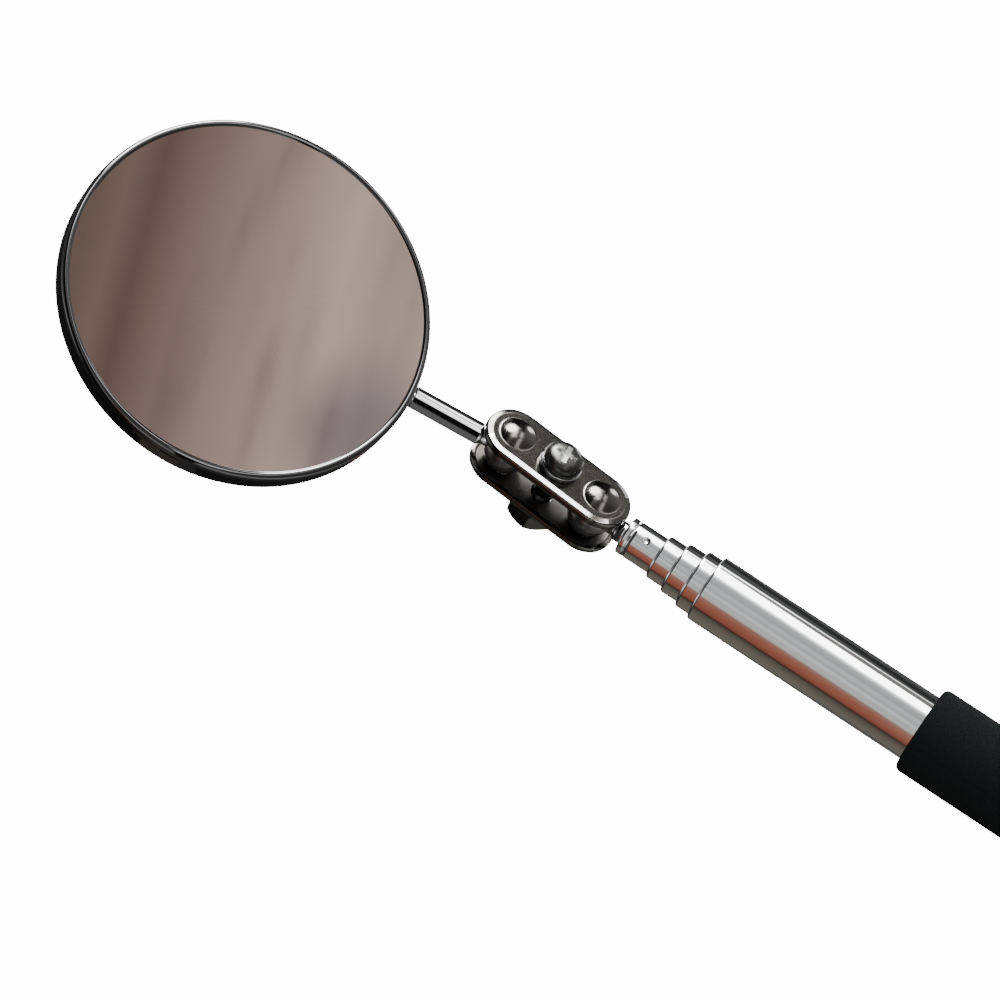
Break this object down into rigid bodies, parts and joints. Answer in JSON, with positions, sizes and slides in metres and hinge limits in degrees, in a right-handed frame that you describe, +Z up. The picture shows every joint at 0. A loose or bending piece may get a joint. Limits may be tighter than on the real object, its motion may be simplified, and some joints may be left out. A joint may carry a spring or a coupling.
{
  "type": "telescoping inspection mirror",
  "caption": "Round mirror in a metal case, aimed by a twin ball clamp on the end of a telescopic tube handle with a foam grip.",
  "frame": {"origin": "centre of the end plug's flat butt face, on the handle's axis", "axes": "+X along the handle towards the mirror, +Z up from the flat surface the tool lies on, +Y to the left seen from the butt"},
  "size_m": [0.2481, 0.0373, 0.0446],
  "materials": {
    "grip_sleeve": "matte black foam rubber",
    "end_plug": "moulded black plastic",
    "main_tube": "polished chrome plate",
    "tube_4": "polished chrome plate",
    "tube_3": "polished chrome plate",
    "tube_2": "polished chrome plate",
    "tube_1": "polished chrome plate",
    "tube_4_spring": "springy bronze",
    "tube_3_spring": "springy bronze",
    "tube_2_spring": "springy bronze",
    "tube_1_spring": "springy bronze",
    "stem_bush": "plain bright steel",
    "rear_stem": "polished chrome plate",
    "rear_ball": "plain bright steel",
    "clamp_plate_front": "polished nickel plate",
    "clamp_plate_back": "polished nickel plate",
    "lock_washer": "plain bright steel",
    "clamp_screw": "bright nickel plate",
    "flat_washer": "plain bright steel",
    "clamp_nut": "plain bright steel",
    "front_ball": "plain bright steel",
    "front_stem": "polished chrome plate",
    "mirror_case": "polished chrome plate",
    "mirror_glass": "back-silvered flat glass",
    "backing_pad": "grey-brown pressed card",
    "stem_anchor": "plain bright steel"
  },
  "bodies": {
    "handle": {"main_tube": "main_tube", "grip_sleeve": "grip_sleeve", "end_plug": "end_plug"},
    "tube_4": {"tube_4": "tube_4", "tube_4_spring": "tube_4_spring"},
    "tube_3": {"tube_3": "tube_3", "tube_3_spring": "tube_3_spring"},
    "tube_2": {"tube_2": "tube_2", "tube_2_spring": "tube_2_spring"},
    "tube_1": {"tube_1": "tube_1", "tube_1_spring": "tube_1_spring", "stem_bush": "stem_bush"},
    "rear_stem": {"rear_stem": "rear_stem"},
    "rear_ball": {"rear_ball": "rear_ball"},
    "clamp": {"clamp_plate_front": "clamp_plate_front", "clamp_plate_back": "clamp_plate_back", "lock_washer": "lock_washer", "flat_washer": "flat_washer", "clamp_nut": "clamp_nut"},
    "clamp_screw": {"clamp_screw": "clamp_screw"},
    "front_ball": {"front_ball": "front_ball"},
    "front_stem": {"front_stem": "front_stem"},
    "mirror_head": {"mirror_case": "mirror_case", "mirror_glass": "mirror_glass", "backing_pad": "backing_pad", "stem_anchor": "stem_anchor"}
  },
  "joints": [
    {"name": "draw_4", "type": "slide", "parent": "handle", "child": "tube_4", "axis": [1, 0, 0], "range_m": [0, 0.129]},
    {"name": "draw_3", "type": "slide", "parent": "tube_4", "child": "tube_3", "axis": [1, 0, 0], "range_m": [0, 0.1255]},
    {"name": "draw_2", "type": "slide", "parent": "tube_3", "child": "tube_2", "axis": [1, 0, 0], "range_m": [0, 0.1222]},
    {"name": "draw_1", "type": "slide", "parent": "tube_2", "child": "tube_1", "axis": [1, 0, 0], "range_m": [0, 0.119]},
    {"name": "rear_spin", "type": "hinge", "parent": "tube_1", "child": "rear_stem", "pos_m": [0.1683, 0, 0], "axis": [1, 0, 0], "continuous": true},
    {"name": "rear_rock", "type": "hinge", "parent": "rear_stem", "child": "rear_ball", "pos_m": [0.1683, 0, 0], "axis": [0, -0.4226, -0.9063], "range_deg": [-16, 3.5]},
    {"name": "rear_swing", "type": "hinge", "parent": "rear_ball", "child": "clamp", "pos_m": [0.1683, 0, 0], "axis": [0.1097, 0.9008, -0.4201], "range_deg": [-88, 88]},
    {"name": "screw_turn", "type": "hinge", "parent": "clamp", "child": "clamp_screw", "pos_m": [0.17555, -0.00068, 0.00044], "axis": [-0.1097, -0.9008, 0.4201], "range_deg": [-350, 30]},
    {"name": "front_swing", "type": "hinge", "parent": "clamp", "child": "front_ball", "pos_m": [0.18281, -0.00136, 0.00089], "axis": [-0.1097, -0.9008, 0.4201], "range_deg": [-105, 74]},
    {"name": "front_rock", "type": "hinge", "parent": "front_ball", "child": "front_stem", "pos_m": [0.18281, -0.00136, 0.00089], "axis": [0.2856, -0.4334, -0.8548], "range_deg": [-15, 4.5]},
    {"name": "mirror_spin", "type": "hinge", "parent": "front_stem", "child": "mirror_head", "pos_m": [0.18281, -0.00136, 0.00089], "axis": [0.9375, -0.0587, 0.343], "continuous": true}
  ]
}
